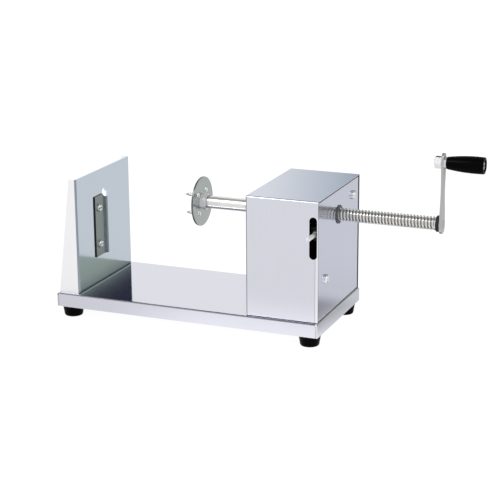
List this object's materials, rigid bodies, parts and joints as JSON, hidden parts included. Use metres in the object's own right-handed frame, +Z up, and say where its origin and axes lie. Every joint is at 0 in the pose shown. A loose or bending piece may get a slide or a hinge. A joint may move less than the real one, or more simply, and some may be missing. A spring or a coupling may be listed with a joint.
{
  "type": "spiral food slicer",
  "caption": "Hand cranked spiral slicer: a lead screw in a sprung half nut feeds a pronged disc towards a fixed blade on an upright.",
  "frame": {"origin": "the middle of the base, on the surface that the four feet stand on", "axes": "+X along the lead screw towards the crank, +Y to the back, away from the lever's pin, +Z up"},
  "size_m": [0.3905, 0.1296, 0.173],
  "materials": {
    "polished_sheet": "polished stainless sheet, almost a mirror",
    "blade_steel": "hardened strip, ground on its bevel",
    "rod_steel": "turned and plated steel",
    "disc_steel": "polished steel disc",
    "pin_steel": "bright steel pin",
    "crank_steel": "tumbled steel strip",
    "lever_steel": "plain steel plate",
    "plated_fastener": "bright plated fastener",
    "spring_steel": "plated spring wire",
    "nut_brass": "machined brass",
    "black_rubber": "black rubber, slightly shiny",
    "grey_rubber": "grey rubber ring",
    "black_nylon": "black nylon",
    "black_grip": "glossy black moulded plastic"
  },
  "bodies": {
    "frame": {"base_tray": "polished_sheet", "foot_front_left": "black_rubber", "foot_front_right": "black_rubber", "foot_back_left": "black_rubber", "foot_back_right": "black_rubber", "foot_screws": "plated_fastener", "foot_nuts": "plated_fastener", "blade_stand": "polished_sheet", "stand_screws": "plated_fastener", "stand_nuts": "plated_fastener", "slicing_blade": "blade_steel", "blade_screws": "plated_fastener", "blade_nuts": "plated_fastener", "drive_frame": "polished_sheet", "frame_screws": "plated_fastener", "frame_nuts": "plated_fastener", "housing_cover": "polished_sheet", "cover_screws": "plated_fastener", "cover_weld_nuts": "plated_fastener", "left_bush": "black_nylon", "right_bush": "black_nylon", "left_bush_ring": "spring_steel", "right_bush_ring": "spring_steel", "lever_pivot_bolt": "plated_fastener", "pivot_nut": "plated_fastener", "pivot_spacer": "plated_fastener", "spring_anchor_bolt": "plated_fastener", "spring_anchor_nuts": "plated_fastener", "lever_spring": "spring_steel"},
    "lever": {"lever_plate": "lever_steel", "half_nut": "nut_brass", "half_nut_screws": "plated_fastener", "lever_pin": "pin_steel", "spring_post": "pin_steel"},
    "bumper": {"rod_bumper": "grey_rubber"},
    "rod": {"lead_screw": "rod_steel", "pronged_disc": "disc_steel", "prong_1": "pin_steel", "prong_2": "pin_steel", "prong_3": "pin_steel", "prong_4": "pin_steel", "disc_hub": "rod_steel", "hub_screw": "plated_fastener", "crank_arm": "crank_steel", "grip_washer": "crank_steel", "grip_spindle": "plated_fastener", "spindle_nut": "plated_fastener"},
    "grip": {"crank_grip": "black_grip"}
  },
  "joints": [
    {"name": "rod_feed", "type": "slide", "parent": "frame", "child": "bumper", "axis": [1, 0, 0], "range_m": [-0.084, 0.033]},
    {"name": "crank_turn", "type": "hinge", "parent": "bumper", "child": "rod", "pos_m": [0.223, 0, 0.1095], "axis": [1, 0, 0], "range_deg": [-10080, 3960]},
    {"name": "grip_spin", "type": "hinge", "parent": "rod", "child": "grip", "pos_m": [0.2275, 0, 0.1645], "axis": [1, 0, 0], "continuous": true},
    {"name": "lever_lift", "type": "hinge", "parent": "frame", "child": "lever", "pos_m": [0.121, 0.0387, 0.1183], "axis": [-1, 0, 0], "range_deg": [0, 8], "stiffness_Nm_per_rad": 2.5, "springref_deg": -8.59, "deforming": ["lever_spring"]}
  ],
  "couplings": [
    {"joint": "rod_feed", "follows": "crank_turn", "m_per_rad": 0.00047746}
  ]
}
